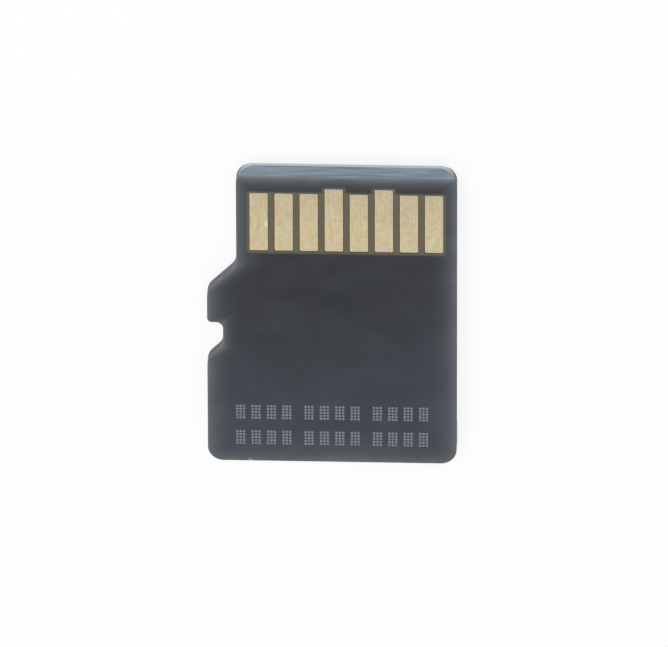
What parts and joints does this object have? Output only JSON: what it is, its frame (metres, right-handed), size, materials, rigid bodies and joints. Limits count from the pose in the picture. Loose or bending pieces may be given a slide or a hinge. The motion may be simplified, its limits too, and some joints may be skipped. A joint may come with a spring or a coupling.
{
  "type": "microsd card",
  "caption": "Thin black memory card with a stepped outline, a side latch notch, a bevelled contact end, a row of flat gold contacts and a rear finger ridge.",
  "frame": {"origin": "under the middle of the card, level with the outer face of the grip ridge", "axes": "+Y towards the contact end, which goes into the socket first; +Z out of the contact face"},
  "size_m": [0.011, 0.015, 0.001],
  "materials": {
    "mould_epoxy": "fine matte moulding, black",
    "board_mask": "satin black solder mask, ground to bare laminate on the bevel",
    "contact_gold": "hard gold plating, satin, finely streaked",
    "bond_gold": "soft gold, bright",
    "silicon": "polished silicon",
    "capacitor_ceramic": "plain ceramic with tinned ends"
  },
  "bodies": {
    "root": {"mould_cap": "mould_epoxy", "substrate_board": "board_mask", "bond_fingers": "bond_gold", "contact_1_data_2": "contact_gold", "contact_2_data_3": "contact_gold", "contact_3_command": "contact_gold", "contact_4_supply": "contact_gold", "contact_5_clock": "contact_gold", "contact_6_ground": "contact_gold", "contact_7_data_0": "contact_gold", "contact_8_data_1": "contact_gold", "flash_wires_upper": "bond_gold", "flash_wires_lower": "bond_gold", "controller_wires_rear": "bond_gold", "controller_wires_front": "bond_gold", "flash_die_lower": "silicon", "flash_die_upper": "silicon", "controller_die": "silicon", "capacitor_1": "capacitor_ceramic", "capacitor_2": "capacitor_ceramic", "capacitor_3": "capacitor_ceramic", "capacitor_4": "capacitor_ceramic"}
  },
  "joints": []
}
